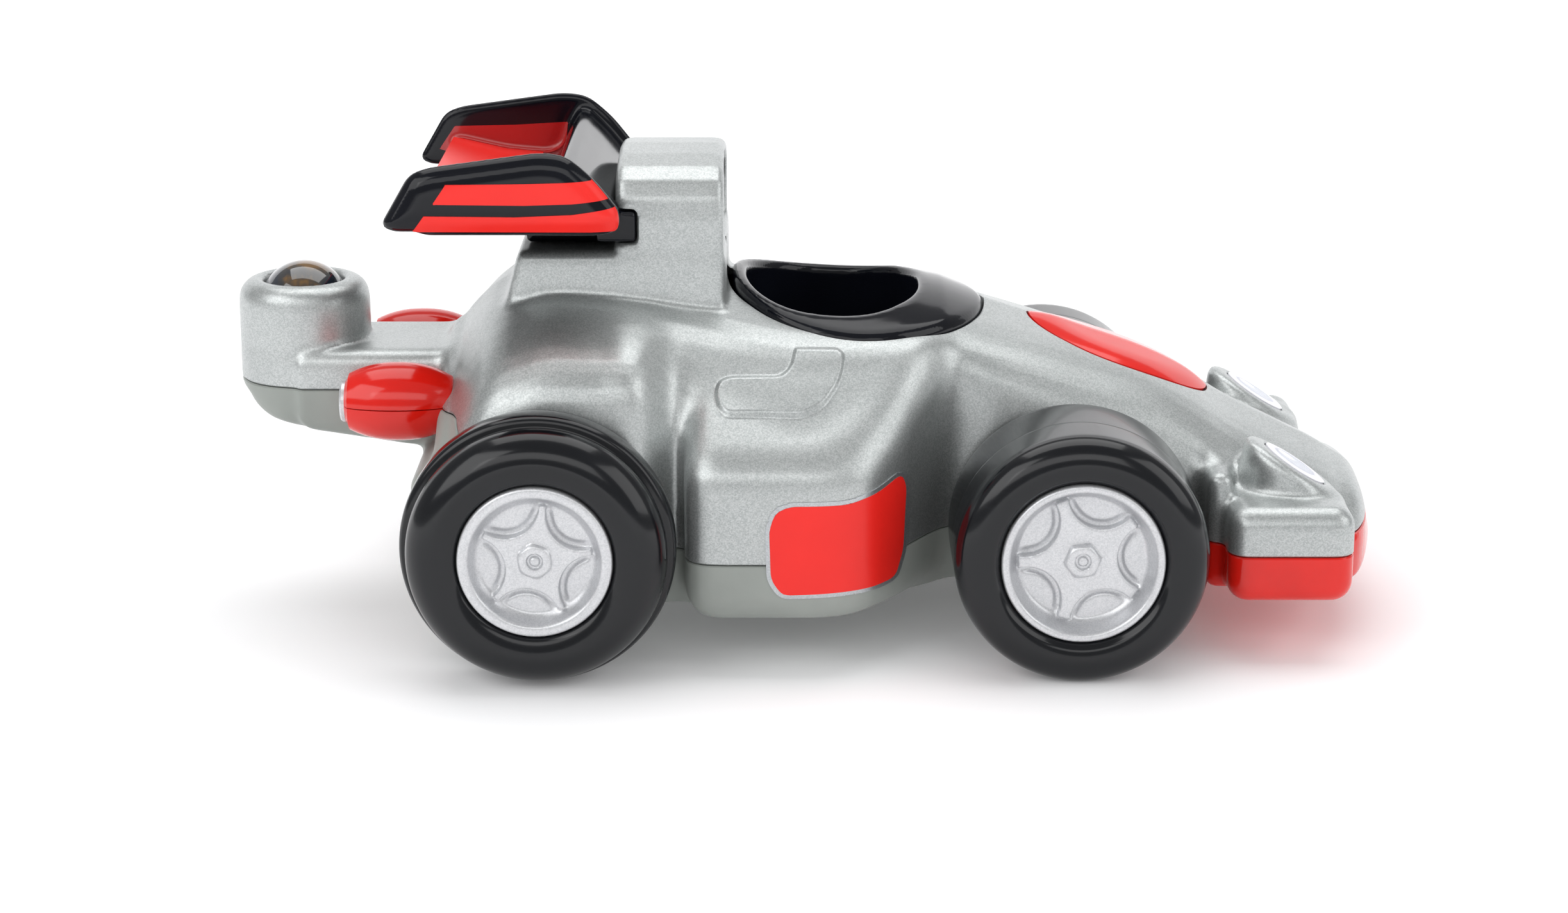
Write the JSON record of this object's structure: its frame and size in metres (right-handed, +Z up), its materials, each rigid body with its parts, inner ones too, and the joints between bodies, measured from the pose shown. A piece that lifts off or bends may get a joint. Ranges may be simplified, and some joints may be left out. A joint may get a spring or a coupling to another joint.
{
  "type": "pull back race car",
  "caption": "Chunky pull back toy race car: fat wheels, rear wing, air tower, open cockpit bowl and a spring motor in its belly.",
  "frame": {"origin": "middle of the car's outline, on the ground", "axes": "+X towards the nose, +Y to the car's left side, +Z up"},
  "size_m": [0.2558, 0.1412, 0.1092],
  "materials": {
    "silver_paint": "silver metallic lacquer on moulded plastic",
    "grey_plastic": "bare greenish grey plastic",
    "red_plastic": "glossy red",
    "black_plastic": "glossy black",
    "tyre_black": "smooth glossy black",
    "hub_silver": "silver metallic lacquer",
    "ball_dark": "dark clear plastic",
    "lens_white": "printed oval under clear lacquer",
    "red_label": "glossy printed film",
    "steel": "bright",
    "spring_steel": "blued strip",
    "gear_nylon": "off-white nylon",
    "motor_plastic": "dark blue"
  },
  "bodies": {
    "chassis": {"ball_seat": "black_plastic", "body_screws": "steel", "cockpit_tub": "black_plastic", "exhaust_lower_left": "red_plastic", "exhaust_lower_right": "red_plastic", "exhaust_tip_left": "hub_silver", "exhaust_tip_right": "hub_silver", "exhaust_upper_left": "red_plastic", "exhaust_upper_right": "red_plastic", "front_bumper": "red_plastic", "front_bush_left": "gear_nylon", "front_bush_right": "gear_nylon", "idler_pin": "steel", "inner_label_left": "red_label", "inner_label_right": "red_label", "lamp_lens_left": "lens_white", "lamp_lens_right": "lens_white", "lower_shell": "grey_plastic", "mainspring": "spring_steel", "motor_housing_left": "motor_plastic", "motor_housing_right": "motor_plastic", "motor_screws": "steel", "nose_badge": "red_label", "rear_bush_left": "gear_nylon", "rear_bush_right": "gear_nylon", "rear_wing": "black_plastic", "side_label_left": "red_label", "side_label_right": "red_label", "spring_cup": "motor_plastic", "stripe_lower_left": "red_label", "stripe_lower_right": "red_label", "stripe_upper_left": "red_label", "stripe_upper_right": "red_label", "upper_shell": "silver_paint", "wing_deck_label": "red_label", "wing_screws": "steel"},
    "rear_wheels": {"rear_axle": "steel", "rear_tyre_left": "tyre_black", "rear_tyre_right": "tyre_black", "rear_hub_left": "hub_silver", "rear_hub_right": "hub_silver", "axle_gear": "gear_nylon"},
    "front_wheels": {"front_axle": "steel", "front_tyre_left": "tyre_black", "front_tyre_right": "tyre_black", "front_hub_left": "hub_silver", "front_hub_right": "hub_silver"},
    "idler": {"idler_gear": "gear_nylon"},
    "spring_wheel": {"spring_gear": "gear_nylon"},
    "ball": {"tail_ball": "ball_dark"}
  },
  "joints": [
    {"name": "rear_axle_spin", "type": "hinge", "parent": "chassis", "child": "rear_wheels", "pos_m": [-0.0573, 0, 0.0292], "axis": [0, 1, 0], "continuous": true},
    {"name": "front_axle_spin", "type": "hinge", "parent": "chassis", "child": "front_wheels", "pos_m": [0.0575, 0, 0.027], "axis": [0, 1, 0], "continuous": true},
    {"name": "idler_spin", "type": "hinge", "parent": "chassis", "child": "idler", "pos_m": [-0.04151, 0, 0.03495], "axis": [0, 1, 0], "continuous": true},
    {"name": "spring_spin", "type": "hinge", "parent": "chassis", "child": "spring_wheel", "pos_m": [-0.05231, 0, 0.04782], "axis": [0, 1, 0], "continuous": true},
    {"name": "ball_spin", "type": "hinge", "parent": "chassis", "child": "ball", "pos_m": [-0.1133, 0, 0.0681], "axis": [0, 1, 0], "continuous": true}
  ],
  "couplings": [
    {"joint": "idler_spin", "follows": "rear_axle_spin", "ratio": -0.4},
    {"joint": "spring_spin", "follows": "rear_axle_spin", "ratio": 0.125}
  ]
}
